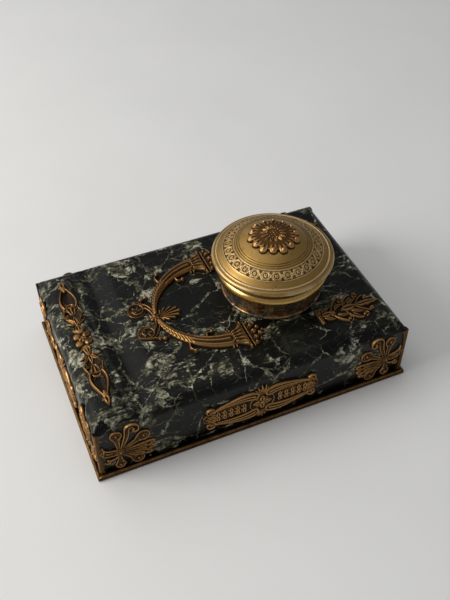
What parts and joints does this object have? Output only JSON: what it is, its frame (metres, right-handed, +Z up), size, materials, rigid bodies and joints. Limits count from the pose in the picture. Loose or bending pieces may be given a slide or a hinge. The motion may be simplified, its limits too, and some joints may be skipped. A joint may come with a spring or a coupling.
{
  "type": "inkwell",
  "caption": "Veined marble desk inkwell with cast bronze mounts, a pen trough and one round brass well whose lid lifts off a glass liner.",
  "frame": {"origin": "middle of the footprint, on the surface it stands on", "axes": "+Z up; the pen trough and ridge are at the -Y end and the well is at the +Y end, so the writer sits at -Y; +X is the writer's right"},
  "size_m": [0.1356, 0.2056, 0.0895],
  "materials": {
    "marble": "polished, grey-green and white veins",
    "bronze": "worn gilt bronze with dark recesses",
    "brass": "satin brass with patina",
    "hardware": "plain brass",
    "glass": "clear pressed glass",
    "felt": "green baize"
  },
  "bodies": {
    "stand": {"marble_slab": "marble", "felt_pad": "felt", "base_rail_front": "bronze", "base_rail_back": "bronze", "base_rail_left": "bronze", "base_rail_right": "bronze", "corner_strip_front_left": "bronze", "corner_strip_front_right": "bronze", "corner_strip_back_left": "bronze", "corner_strip_back_right": "bronze", "rosette_right_front": "bronze", "rosette_right_back": "bronze", "rosette_left_front": "bronze", "rosette_left_back": "bronze", "rosette_front_right": "bronze", "rosette_front_left": "bronze", "plaque_right": "bronze", "plaque_left": "bronze", "plaque_front": "bronze", "ridge_garland": "bronze", "wreath_clasp": "bronze", "horn_right": "bronze", "horn_left": "bronze", "palmette_right": "bronze", "palmette_left": "bronze", "side_mount_pins": "hardware", "top_mount_pins": "hardware", "well_foot_ring": "brass", "well_drum": "brass", "well_collar": "brass", "well_bolt": "hardware", "well_washer": "hardware", "well_nut": "hardware"},
    "liner": {"glass_liner": "glass"},
    "lid": {"lid_dome": "brass", "lid_flange": "brass", "lid_rosette": "bronze", "rosette_screw": "hardware", "rosette_washer": "hardware"}
  },
  "joints": [
    {"name": "liner_lift", "type": "slide", "parent": "stand", "child": "liner", "axis": [0, 0, 1], "range_m": [0, 0.04]},
    {"name": "lid_lift", "type": "slide", "parent": "liner", "child": "lid", "axis": [0, 0, 1], "range_m": [0, 0.06]}
  ]
}
